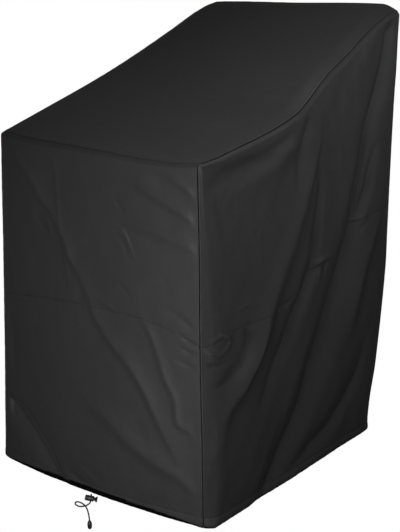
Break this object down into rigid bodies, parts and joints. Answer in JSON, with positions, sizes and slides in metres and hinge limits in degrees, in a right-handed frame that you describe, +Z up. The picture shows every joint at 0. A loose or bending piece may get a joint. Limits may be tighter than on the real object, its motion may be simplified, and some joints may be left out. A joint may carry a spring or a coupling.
{
  "type": "patio furniture cover",
  "caption": "Fitted cloth cover for stacked garden chairs, open below, with a top that slopes down to the front and a hem drawn in by a cord with a sprung lock.",
  "frame": {"origin": "under the top sheet in the middle of the width, 0.76 m behind the front wall and 1.176 m above the hem, where the cover hangs on the top of the chair's back", "axes": "+X to the right of someone facing the front wall, +Y from the front wall to the back wall, +Z up"},
  "size_m": [0.7055, 0.8764, 1.3143],
  "materials": {
    "coated_cloth": "fine woven black polyester, coated, slightly satin",
    "cord": "matt braided black cord",
    "moulded_plastic": "satin black moulded plastic"
  },
  "bodies": {
    "cover": {"top_panel": "coated_cloth", "front_upper": "coated_cloth", "front_lower": "coated_cloth", "side_right_upper": "coated_cloth", "side_right_lower": "coated_cloth", "side_left_upper": "coated_cloth", "side_left_lower": "coated_cloth", "back_upper": "coated_cloth", "back_lower": "coated_cloth", "drawcord": "cord", "cord_lock": "moulded_plastic", "cord_end": "moulded_plastic"},
    "plunger": {"lock_plunger": "moulded_plastic"}
  },
  "joints": [
    {"name": "plunger_press", "type": "slide", "parent": "cover", "child": "plunger", "axis": [-0.8596, -0.4963, 0.1219], "range_m": [0, 0.004], "stiffness_N_per_m": 400}
  ]
}
